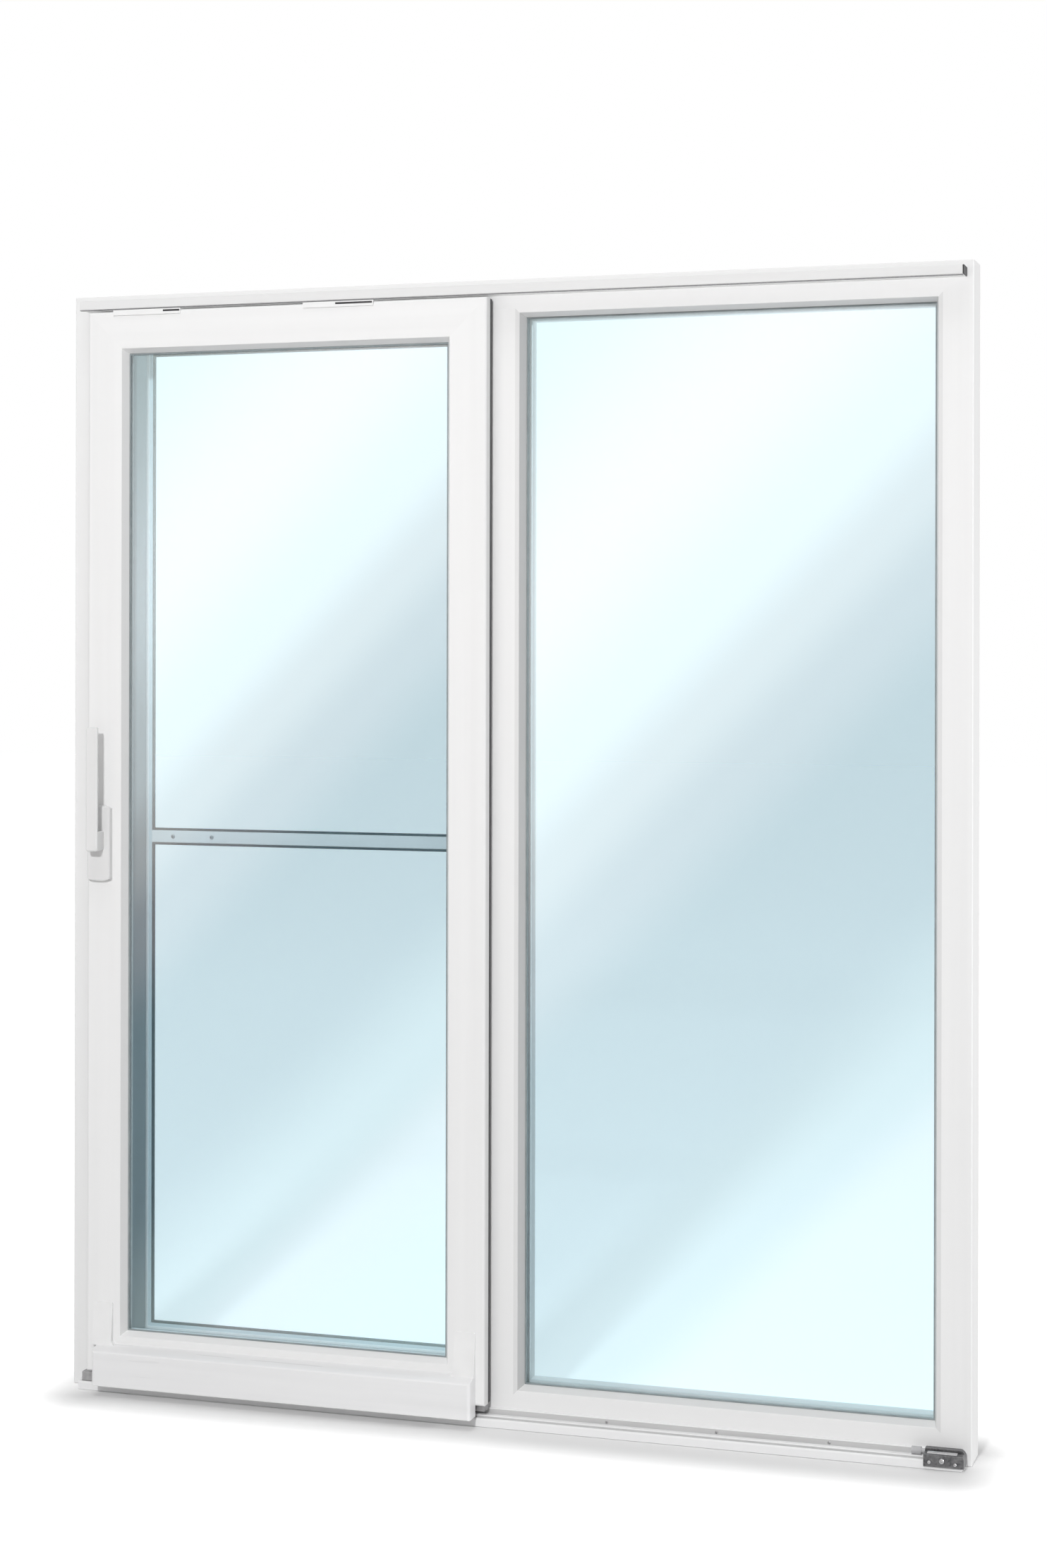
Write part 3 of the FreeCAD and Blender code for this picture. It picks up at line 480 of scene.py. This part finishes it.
moulded_white = surface("moulded_white", WHITE_DARK, WHITE_LIGHT, grain=(25, 25, 25),
                        gloss=(0.34, 0.46), skin_size=0.0006, skin_depth=0.00003)
powder_coat = surface("powder_coat", (0.78, 0.78, 0.785), (0.84, 0.84, 0.845), RAIL_GRAIN,
                      gloss=(0.26, 0.40), **ORANGE_PEEL)
guide_coat = surface("guide_coat", grey(0.72), grey(0.77), RAIL_GRAIN,
                     gloss=(0.30, 0.44), **ORANGE_PEEL)
dress(moulded_white, "cover_cap_left", "cover_cap_right", "stay_left", "stay_right")
dress(powder_coat, "floor_rail", "bottom_cover", "screen_track_bottom", "screen_track_top")
dress(guide_coat, "guide_rail")

# %% [markdown]
# The handle is a zinc casting under white enamel, a little glossier than the plastic.

# %% Handle enamel
enamel = surface("enamel", grey(0.73), grey(0.76), grain=(18, 18, 6),
                 gloss=(0.18, 0.28), skin_size=0.003, skin_depth=0.00003)
dress(enamel, "handle_plate", "handle_lever")

# %% [markdown]
# The running gear has dull grey zinc castings with a mottled skin. The end stop has gone darker than
# the other castings.

# %% Zinc castings
CAST_SKIN = {"skin_size": 0.0010, "skin_depth": 0.00010}

cast_zinc = surface("cast_zinc", (0.30, 0.30, 0.305), (0.44, 0.44, 0.45), grain=(90, 90, 90),
                    gloss=(0.34, 0.55), **CAST_SKIN, metal=0.75)
dark_zinc = surface("dark_zinc", (0.07, 0.07, 0.075), (0.20, 0.20, 0.205), grain=(160, 160, 160),
                    gloss=(0.30, 0.50), **CAST_SKIN, metal=0.60)
dress(cast_zinc, "carriage_left", "carriage_right", "closing_catch")
dress(dark_zinc, "end_stop")

# %% [markdown]
# Rollers and wheels are dark nylon, and the buffer on the end stop is a grey plastic.

# %% Rollers and buffer
nylon = surface("nylon", (0.020, 0.020, 0.022), (0.045, 0.045, 0.048), grain=(60, 60, 60),
                gloss=(0.40, 0.60), skin_size=0.0010, skin_depth=0.00005)
buffer_grey = surface("buffer_grey", (0.40, 0.40, 0.41), (0.48, 0.48, 0.49), grain=(50, 50, 50),
                      gloss=(0.45, 0.65), skin_size=0.0012, skin_depth=0.00006)
dress(nylon, "rollers_left", "rollers_right", "screen_wheels")
dress(buffer_grey, "stop_buffer")

# %% [markdown]
# The spacer bar between the panes shows as a thin teal-grey line. The insect screen's frame is pale
# grey powder coat. Its middle bar and the rib beside the cord get a copy of that coat which is almost
# white: painted light for the bar, which stands out in the light, and a painted highlight on the rib.

# %% Spacer bar and screen frame
SCREEN_SKIN = {"gloss": (0.30, 0.42), "skin_size": 0.0020, "skin_depth": 0.00004}

spacer_metal = surface("spacer_metal", (0.36, 0.42, 0.43), (0.46, 0.52, 0.53), grain=(60, 60, 60),
                       gloss=(0.30, 0.42), skin_size=0.0015, skin_depth=0.00003, metal=0.4)
screen_coat = surface("screen_coat", (0.58, 0.66, 0.70), (0.63, 0.71, 0.75), grain=(3, 20, 3),
                      **SCREEN_SKIN)
# Painted light: an almost white copy of the screen's coat, for the middle bar and the rib.
painted_light_screen_coat = surface("painted_light_screen_coat", (0.77, 0.78, 0.79), (0.82, 0.83, 0.84), grain=(3, 20, 20),
                   **SCREEN_SKIN)
dress(spacer_metal, "fixed_spacer", "sash_spacer")
dress(screen_coat, "screen_left_stile", "screen_right_stile", "screen_top_rail",
      "screen_bottom_rail")
dress(painted_light_screen_coat, "screen_mid_rail")

# %% [markdown]
# The glass is a real pane, four millimetres thick, twice in each unit. A low-emission coating makes
# it mirror more than plain glass and tints it towards blue-green. A refracting shader would be the
# exact way, but a flat pane moves what is behind it by a hair only, and lamps don't shine through
# such a shader. So each face lets most of the ray straight on, tinted, and mirrors the rest: a
# little when it is looked at squarely, and more at a slant.

# %% Coated glass
GLASS_TINT = (0.918, 0.973, 0.992, 1)
MIRROR_SQUARE = 0.07
MIRROR_FALLOFF = 5.0

glass, tree, output = empty_tree("coated_glass")
clear = add_node(tree, "BsdfTransparent", Color=GLASS_TINT)
mirror = add_node(tree, "BsdfPrincipled", Base_Color=WHITE, Metallic=1.0, Roughness=0.0)
facing = add_node(tree, "LayerWeight", Blend=0.5).outputs["Facing"]
steep = calculate(tree, "POWER", facing, MIRROR_FALLOFF)
pane = blend(tree, rescale(tree, steep, 0, 1, MIRROR_SQUARE, 1), clear, mirror)
print("a face of glass mirrors", MIRROR_SQUARE, "of a ray that meets it squarely")

# %% [markdown]
# Light that falls through the pane stays white, so that the screen behind it isn't tinted twice.
# With the sash open a ray crosses eight faces of glass and the mesh, more than the renderer follows
# by itself, so it is told to follow more.

# %% Light through the glass
SEEN_THROUGH = 24

rays = add_node(tree, "LightPath").outputs
lit = calculate(tree, "MAXIMUM", rays["Is Shadow Ray"], rays["Is Diffuse Ray"])
either = blend(tree, lit, pane, add_node(tree, "BsdfTransparent"))
tree.links.new(either.outputs[0], output.inputs["Surface"])
dress(glass, "fixed_glass", "sash_glass")
SCENE.cycles.transparent_max_bounces = SEEN_THROUGH
print("finish", glass.name)

# %% [markdown]
# Insect mesh is a weave of thin threads with about one and a half millimetres between them. Two wave
# patterns, one across and one up, give the threads, and the rest of the sheet is open.

# %% Insect mesh
MESH_PITCH = 0.0016
THREAD_FROM = 0.97
THREAD_COVER = 0.10
THREAD_GREY = (0.30, 0.32, 0.33, 1)
THREAD_ROUGHNESS = 0.6
WAVE_SCALE = math.pi / (10 * MESH_PITCH)

mesh_weave = bpy.data.materials.new("mesh_weave")
mesh_weave.use_nodes = True
tree = mesh_weave.node_tree
thread = tree.nodes["Principled BSDF"].inputs
thread["Base Color"].default_value = THREAD_GREY
thread["Roughness"].default_value = THREAD_ROUGHNESS
place = add_node(tree, "TexCoord").outputs["Object"]
threads = []
for direction in ("X", "Z"):
    wave = add_node(tree, "TexWave", Scale=WAVE_SCALE)
    wave.bands_direction = direction
    tree.links.new(place, wave.inputs["Vector"])
    threads.append(wave.outputs["Fac"])
crossing = calculate(tree, "MAXIMUM", *threads)
tree.links.new(rescale(tree, crossing, THREAD_FROM, 1, 0, THREAD_COVER), thread["Alpha"])
dress(mesh_weave, "screen_mesh")
print("finish", mesh_weave.name)

# %% [markdown]
# Every CAD node now has its finish, and the small pieces follow. Each one ends in the same way: its
# normals are turned outwards, it becomes an object at the origin, and it rides on one body of the
# door. Edges are bevelled first, because no real edge is perfectly sharp.

# %% Helpers: soften edges and finish a piece
SHARP_ANGLE = 0.5


def soften(bm, edge):
    """Bevel every edge between faces that don't lie in one plane."""
    sharp = [e for e in bm.edges if len(e.link_faces) == 2 and e.calc_face_angle() > SHARP_ANGLE]
    bmesh.ops.bevel(bm, geom=sharp, offset=edge, affect="EDGES", segments=2, profile=0.5,
                    material=-1)


def finish_piece(name, bm, body, material):
    """Turn the mesh into an object at the origin, with its finish, that moves with a body."""
    bmesh.ops.recalc_face_normals(bm, faces=bm.faces)
    mesh = bpy.data.meshes.new(name)
    bm.to_mesh(mesh)
    bm.free()
    mesh.materials.append(material)
    piece = bpy.data.objects.new(name, mesh)
    SCENE.collection.objects.link(piece)
    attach(piece, body)
    print(name, "has", len(mesh.polygons), "faces and rides on", body)


# %% [markdown]
# Seals and cords are extruded strips, mitred at the corners. A curve with a section would twist at
# the corners, so each strip starts as a flat rectangle that is inset to a ring, extruded to its depth
# and bevelled along its long edges.

# %% Helper: a strip round a rectangle


def ring_strip(low, high, width, edge):
    """A strip round the rectangle between two corners, which also give its depth along Y."""
    bm = bmesh.new()
    bmesh.ops.create_grid(bm, x_segments=1, y_segments=1, size=0.5)
    size = high - low
    lie = Matrix.Rotation(math.pi / 2, 4, "X") @ Matrix.Diagonal((size.x, size.z, 1, 1))
    centre = Vector(((low.x + high.x) / 2, low.y, (low.z + high.z) / 2))
    bmesh.ops.transform(bm, matrix=Matrix.Translation(centre) @ lie, verts=bm.verts)
    opening = bm.faces[:]
    bmesh.ops.inset_region(bm, faces=opening, thickness=width, use_boundary=True,
                           use_even_offset=True)
    bmesh.ops.delete(bm, geom=opening, context="FACES")
    grown = bmesh.ops.extrude_face_region(bm, geom=bm.faces[:], use_keep_orig=True)["geom"]
    moved = [item for item in grown if isinstance(item, bmesh.types.BMVert)]
    bmesh.ops.translate(bm, verts=moved, vec=(0, size.y, 0))
    bmesh.ops.recalc_face_normals(bm, faces=bm.faces)
    soften(bm, edge)
    return bm


# %% [markdown]
# A grey rubber seal runs round both panes, where the beads press on the glass. Weathered rubber is
# dull and a little patchy.

# %% Rubber seals round the glass
RUBBER_SKIN = {"grain": (30, 30, 30), "gloss": (0.42, 0.60), "skin_size": 0.0008,
               "skin_depth": 0.00005}
RUBBER_EDGE = 0.0006
GASKET_WIDTH = 0.0028
GASKET_DEPTH = 0.0020

gasket_grey = surface("gasket_grey", (0.21, 0.245, 0.255), (0.29, 0.330, 0.340), **RUBBER_SKIN)


def sight_line(light):
    """Lowest and highest corner of what the beads of a light leave open, on the glass."""
    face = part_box(light + "_glass")[0].y
    left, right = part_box(light + "_bead_left")[1].x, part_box(light + "_bead_right")[0].x
    bottom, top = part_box(light + "_bead_bottom")[1].z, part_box(light + "_bead_top")[0].z
    return Vector((left, face, bottom)), Vector((right, face, top))


for light, body in (("sash", "sash"), ("fixed", "frame")):
    low, high = sight_line(light)
    low.y -= GASKET_DEPTH
    gasket = ring_strip(low, high, GASKET_WIDTH, RUBBER_EDGE)
    finish_piece(light + "_gasket", gasket, body, gasket_grey)

# %% [markdown]
# The sash laps the frame with a flange, and a wide dark seal lies in the step behind it. From the
# side it fills the gap between sash and frame as a dark line, which is partly the seal's own colour
# and partly painted shade for the gap. It stays five millimetres clear of the frame, so that the sash
# can slide.

# %% Weather seal behind the sash
FLANGE_THICKNESS = 0.024
SEAL_INSET = 0.0003
SEAL_WIDTH = 0.012
SEAL_EDGE = 0.0020

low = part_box("sash_left_stile")[0]
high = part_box("sash_right_stile")[1]
seal_low = Vector((low.x + SEAL_INSET, low.y + FLANGE_THICKNESS, low.z + SEAL_INSET))
seal_high = Vector((high.x - SEAL_INSET, high.y, high.z - SEAL_INSET))
# Partly painted shade: the seal's dark nylon also stands in for the shade in the gap.
seal_and_gap_shade = ring_strip(seal_low, seal_high, SEAL_WIDTH, SEAL_EDGE)
finish_piece("sash_seal_and_gap_shade", seal_and_gap_shade, "sash", nylon)

# %% [markdown]
# A dark cord, pressed into a groove, holds the mesh in its frame. It shows as a thin line round both
# openings of the screen.

# %% Cord round the mesh
CORD_WIDTH = 0.0045
CORD_SINK = 0.0010
CORD_EDGE = 0.0012

rubber = surface("rubber", (0.080, 0.105, 0.112), (0.120, 0.150, 0.158), **RUBBER_SKIN)
mesh_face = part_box("screen_mesh")[0].y
mid_low, mid_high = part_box("screen_mid_rail")
cord_face = mid_low.y + CORD_SINK
openings = {
    "lower": (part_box("screen_bottom_rail")[1].z, mid_low.z),
    "upper": (mid_high.z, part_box("screen_top_rail")[0].z),
}
for name, (bottom, top) in openings.items():
    cord = ring_strip(Vector((mid_low.x, cord_face, bottom)), Vector((mid_high.x, mesh_face, top)),
                      CORD_WIDTH, CORD_EDGE)
    finish_piece("screen_cord_" + name, cord, "screen", rubber)

# %% [markdown]
# Beside the cord the screen's frame has a raised rib, which catches the light, and its almost white
# coat adds a painted highlight. It is one more strip, this time round both openings together.

# %% Rib on the screen's frame
RIB_GAP = 0.006
RIB_WIDTH = 0.006
RIB_RISE = 0.0020

beside = Vector((RIB_GAP + RIB_WIDTH, 0, RIB_GAP + RIB_WIDTH))
rib_low = Vector((mid_low.x, mid_low.y - RIB_RISE, openings["lower"][0])) - beside
rib_high = Vector((mid_high.x, cord_face, openings["upper"][1])) + beside
rib = ring_strip(rib_low, rib_high, RIB_WIDTH, CORD_EDGE)
finish_piece("screen_rib", rib, "screen", painted_light_screen_coat)

# %% [markdown]
# Strips, bars, slots and plugs are small mouldings. A plain block would look like a stand-in, so the
# helper insets the face that is seen and pushes it in a little, which leaves a rim as on a pressed
# strip.

# %% Helper: a block with a recessed face
FACING = 0.9


def recessed_block(bm, low, high, out, rim, sink):
    """A block between two corners whose face towards out has a rim round a shallow recess."""
    made = bmesh.ops.create_cube(bm, size=1.0)["verts"]
    stretch = Matrix.Diagonal((*(high - low), 1))
    bmesh.ops.transform(bm, matrix=Matrix.Translation((low + high) / 2) @ stretch, verts=made)
    bm.normal_update()
    sides = {side for vertex in made for side in vertex.link_faces}
    face = [side for side in sides if side.normal.dot(out) > FACING]
    bmesh.ops.inset_region(bm, faces=face, thickness=rim, use_even_offset=True)
    bmesh.ops.translate(bm, verts=face[0].verts, vec=-sink * out)


# %% [markdown]
# Two grey strips lie in the floor rail: one on its back wall, where it meets the sill, and one on
# the front of the tread. They end just before the end stop.

# %% Strips in the floor rail
RAIL_WALL = 0.005
TREAD_FRONT = 0.027
STRIPS = [  # distance from the rail's back, bottom and top
    (RAIL_WALL, 0.0115, 0.0262),
    (TREAD_FRONT, 0.0112, 0.0180),
]
STRIP_START = 0.004
STRIP_END_GAP = 0.001
STRIP_THICKNESS = 0.0010
STRIP_EDGE = 0.0003
STRIP_RIM = 0.0010
STRIP_SINK = 0.0003
TOWARDS_ROOM = Vector((0, -1, 0))

# The strips make the rail's back wall and the front of its tread darker.
rail_strip_paint = surface("rail_strip_paint_grey", grey(0.60), grey(0.68), grain=(6, 60, 60), gloss=(0.70, 0.90),
               skin_size=0.0008, skin_depth=0.00010)
rail_low, rail_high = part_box("floor_rail")
stop_low, stop_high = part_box("end_stop")
strips = bmesh.new()
for depth, bottom, top in STRIPS:
    seat = rail_high.y - depth
    recessed_block(strips, Vector((rail_low.x + STRIP_START, seat - STRIP_THICKNESS, bottom)),
                   Vector((stop_low.x - STRIP_END_GAP, seat, top)),
                   TOWARDS_ROOM, STRIP_RIM, STRIP_SINK)
soften(strips, STRIP_EDGE)
finish_piece("rail_strips", strips, "frame", rail_strip_paint)

# %% [markdown]
# Screw heads hold the rail, the end stop and the screen's middle bar. A head is turned on a lathe,
# so its half outline is spun round the axis: a flat seat, a rim, a low dome and a recess for the
# driver.

# %% Helper: screw heads
HEAD_OUTLINE = [(0, 0), (1, 0), (1, 0.25), (0.80, 0.50), (0.45, 0.60), (0.35, 0.20), (0, 0.20)]
HEAD_STEPS = 16
WELD_SHARE = 0.01

steel = surface("steel", (0.46, 0.46, 0.47), (0.62, 0.62, 0.63), grain=(200, 200, 200),
                gloss=(0.28, 0.45), skin_size=0.0006, skin_depth=0.00004, metal=0.9)


def add_screw(bm, centre, radius):
    """A screw head that stands on centre and looks into the room."""
    before = set(bm.verts)
    points = [bm.verts.new((out * radius, 0, up * radius)) for out, up in HEAD_OUTLINE]
    edges = [bm.edges.new(pair) for pair in zip(points, points[1:])]
    bmesh.ops.spin(bm, geom=points + edges, axis=(0, 0, 1), cent=(0, 0, 0), angle=2 * math.pi,
                   steps=HEAD_STEPS, use_merge=True)
    spun = [v for v in bm.verts if v not in before]
    bmesh.ops.remove_doubles(bm, verts=spun, dist=radius * WELD_SHARE)
    head = [v for v in bm.verts if v not in before]
    turn = Vector((0, 0, 1)).rotation_difference(TOWARDS_ROOM).to_matrix().to_4x4()
    bmesh.ops.transform(bm, matrix=Matrix.Translation(centre) @ turn, verts=head)


def screws(name, body, places):
    """Screws at places (x, y, z, radius) as one piece."""
    bm = bmesh.new()
    for x, y, z, radius in places:
        add_screw(bm, Vector((x, y, z)), radius)
    finish_piece(name, bm, body, steel)


# %% [markdown]
# The rail's screws stand on the strip at its back wall, at even distances. The end stop has three
# screws, the middle one larger, and two hold the left end of the screen's middle bar.

# %% Screws
RAIL_SCREW_X = [-0.608, -0.404, -0.200, 0.208, 0.412, 0.616]
RAIL_SCREW_Z = 0.0215
RAIL_SCREW_RADIUS = 0.0026
STOP_SCREWS = [(0.798, 0.0135, 0.0030), (0.820, 0.0170, 0.0046), (0.843, 0.0125, 0.0030)]
BAR_SCREW_X = [-0.697, -0.615]
BAR_SCREW_RADIUS = 0.0040

wall_face = rail_high.y - RAIL_WALL - STRIP_THICKNESS
mid_level = (mid_low.z + mid_high.z) / 2
screws("rail_screws", "frame",
       [(x, wall_face, RAIL_SCREW_Z, RAIL_SCREW_RADIUS) for x in RAIL_SCREW_X])
screws("stop_screws", "frame", [(x, stop_low.y, z, radius) for x, z, radius in STOP_SCREWS])
screws("bar_screws", "screen", [(x, mid_low.y, mid_level, BAR_SCREW_RADIUS) for x in BAR_SCREW_X])

# %% [markdown]
# A polished bar lies on the end stop's shelf. It is the same kind of block as the strips, with its
# recess upwards.

# %% Bar on the end stop
STOP_SHELF = 0.027
BAR_LEFT = 0.006
BAR_RIGHT = 0.012
BAR_FRONT = 0.003
BAR_BACK = 0.013
BAR_HEIGHT = 0.0030
BAR_RIM = 0.002
BAR_SINK = 0.0006
BAR_EDGE = 0.0008

bar = bmesh.new()
bar_low = Vector((stop_low.x + BAR_LEFT, stop_low.y + BAR_FRONT, STOP_SHELF))
bar_high = Vector((stop_high.x - BAR_RIGHT, stop_low.y + BAR_BACK, STOP_SHELF + BAR_HEIGHT))
recessed_block(bar, bar_low, bar_high, Vector((0, 0, 1)), BAR_RIM, BAR_SINK)
soften(bar, BAR_EDGE)
finish_piece("stop_bar", bar, "frame", steel)

# %% [markdown]
# A slot in the front of each stay shows dark with the shade inside it. Cutting it would change the
# CAD node, so a dark block that stands out by less than half a millimetre takes its place: painted
# shade where the slot's hollow would be.

# %% Painted shade for the slots in the stays
STAY_SLOTS = [(-0.660, -0.626), (-0.309, -0.236)]
SLOT_BOTTOM = 2.0612
SLOT_TOP = 2.0646
SLOT_RISE = 0.0004
SLOT_RIM = 0.0006

stay_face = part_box("stay_left")[0].y
# Painted shade: dark blocks where the slots' shaded hollows would be.
slots = bmesh.new()
for left, right in STAY_SLOTS:
    recessed_block(slots, Vector((left, stay_face - SLOT_RISE, SLOT_BOTTOM)),
                   Vector((right, stay_face + SLOT_RISE, SLOT_TOP)),
                   TOWARDS_ROOM, SLOT_RIM, SLOT_RISE / 2)
finish_piece("stay_slot_shades", slots, "sash", nylon)

# %% [markdown]
# A dark moulded plug closes each end of the guide rail: a tongue in the channel, and at the right end
# a flange with an even rim that covers the cut. Its dark colour is painted shade, where the rail's
# hollow end would be shaded.

# %% Plugs in the guide rail, dark as painted shade
GUIDE_WALL = 0.0025
PLUG_GAP = 0.0005
PLUG_RIM = 0.002
TONGUE_LENGTH = 0.012
TONGUE_SINK = 0.003
FLANGE_LENGTH = 0.0025
FLANGE_SINK = 0.001

guide_low, guide_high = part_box("guide_rail")
within = Vector((0, GUIDE_WALL, GUIDE_WALL))
# Painted shade: the dark plugs stand where the rail's hollow ends would lie in shade.
plugs_and_shade = bmesh.new()
for end, out in ((guide_low.x, -1), (guide_high.x, 1)):
    left, right = sorted((end - out * PLUG_GAP, end - out * TONGUE_LENGTH))
    recessed_block(plugs_and_shade, Vector((left, guide_low.y, guide_low.z)) + within,
                   Vector((right, guide_high.y, guide_high.z)) - within,
                   Vector((out, 0, 0)), PLUG_RIM, TONGUE_SINK)
flange_low = Vector((guide_high.x, guide_low.y + PLUG_GAP, guide_low.z + PLUG_GAP))
flange_high = Vector((guide_high.x + FLANGE_LENGTH, guide_high.y, guide_high.z - PLUG_GAP))
recessed_block(plugs_and_shade, flange_low, flange_high, Vector((1, 0, 0)), PLUG_RIM, FLANGE_SINK)
soften(plugs_and_shade, RUBBER_EDGE)
finish_piece("guide_plugs_and_shade", plugs_and_shade, "frame", nylon)

# %% [markdown]
# Along the guide rail's foot a grey brush narrows the gap over the sash. The hairs are too fine to
# model, so a low block carries a finish with a grain that is close across the rail. Its grey is
# partly the brush's own colour and partly painted shade, kept dark to draw the thin contact line
# along the rail's foot.

# %% Brush under the guide rail
BRUSH_INSET = 0.001
BRUSH_DEPTH = 0.008
BRUSH_DROP = 0.0016
BRUSH_RIM = 0.002
BRUSH_SINK = 0.0006

# Partly painted shade: the brush is darkened to give the dark line under the rail.
brush_grey_and_shade = surface("brush_grey_and_shade", (0.26, 0.26, 0.265), (0.36, 0.36, 0.37), grain=(300, 60, 60),
                     gloss=(0.60, 0.85), skin_size=0.0006, skin_depth=0.00015)
brush = bmesh.new()
brush_low = Vector((guide_low.x, guide_low.y + BRUSH_INSET, guide_low.z - BRUSH_DROP))
brush_high = Vector((guide_high.x, guide_low.y + BRUSH_DEPTH, guide_low.z))
recessed_block(brush, brush_low, brush_high, Vector((0, 0, -1)), BRUSH_RIM, BRUSH_SINK)
soften(brush, STRIP_EDGE)
finish_piece("guide_brush", brush, "frame", brush_grey_and_shade)

# %% [markdown]
# In the picture the guide rail throws almost no shadow on the head below it, while the plate and the
# lever have clear ones. Shadow linking does the same: the key's light passes the rail and what is
# fixed to it.

# %% Let the key's light pass the guide rail
guide_pieces = [NODES["guide_rail"], bpy.data.objects["guide_plugs_and_shade"], bpy.data.objects["guide_brush"]]
key.light_linking.blocker_collection = left_out("lets_key_pass", guide_pieces)
print("the key passes", [piece.name for piece in guide_pieces])
